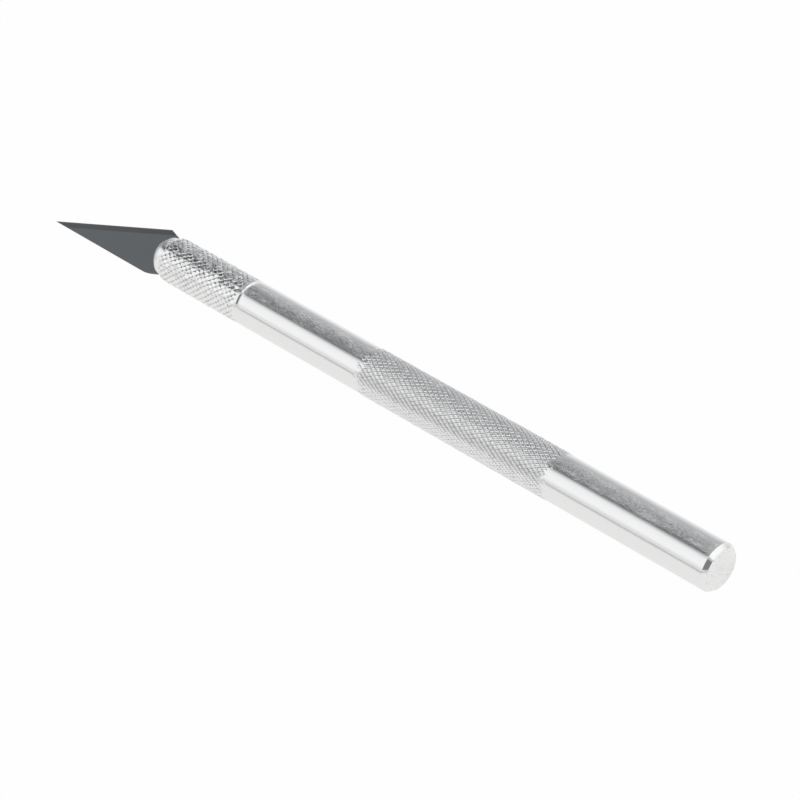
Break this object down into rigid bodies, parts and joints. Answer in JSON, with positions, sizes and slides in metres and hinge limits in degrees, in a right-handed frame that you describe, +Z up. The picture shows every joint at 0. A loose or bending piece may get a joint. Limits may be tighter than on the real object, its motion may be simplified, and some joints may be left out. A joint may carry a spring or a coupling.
{
  "type": "craft knife",
  "caption": "Slim round craft knife: knurled aluminium rod handle with a screw-down collar and slit collet that clamp a pointed, straight-edged steel blade.",
  "frame": {"origin": "on the surface the knife lies on, under the middle of its length", "axes": "+X along the knife towards the butt, the point at -X; +Z up"},
  "size_m": [0.1468, 0.0082, 0.0082],
  "materials": {
    "handle_aluminium": "bright turned rod with a diamond-knurled band",
    "collar_aluminium": "bright turned, coarse diamond knurl",
    "collet_steel": "turned, plain",
    "blade_steel": "rolled carbon steel, ground along the edge"
  },
  "bodies": {
    "handle": {"handle": "handle_aluminium"},
    "collar": {"collar": "collar_aluminium"},
    "collet": {"collet": "collet_steel"},
    "blade": {"blade": "blade_steel"}
  },
  "joints": [
    {"name": "collar_turn", "type": "hinge", "parent": "handle", "child": "collar", "pos_m": [-0.03672, 0, 0.00409], "axis": [-1, 0, 0], "range_deg": [0, 720]},
    {"name": "collet_advance", "type": "slide", "parent": "collar", "child": "collet", "axis": [-1, 0, 0], "range_m": [0, 0.00159]},
    {"name": "blade_draw", "type": "slide", "parent": "collet", "child": "blade", "axis": [-1, 0, 0], "range_m": [0, 0.016]}
  ],
  "couplings": [
    {"joint": "collar_turn", "follows": "collet_advance", "rad_per_m": 7915}
  ]
}
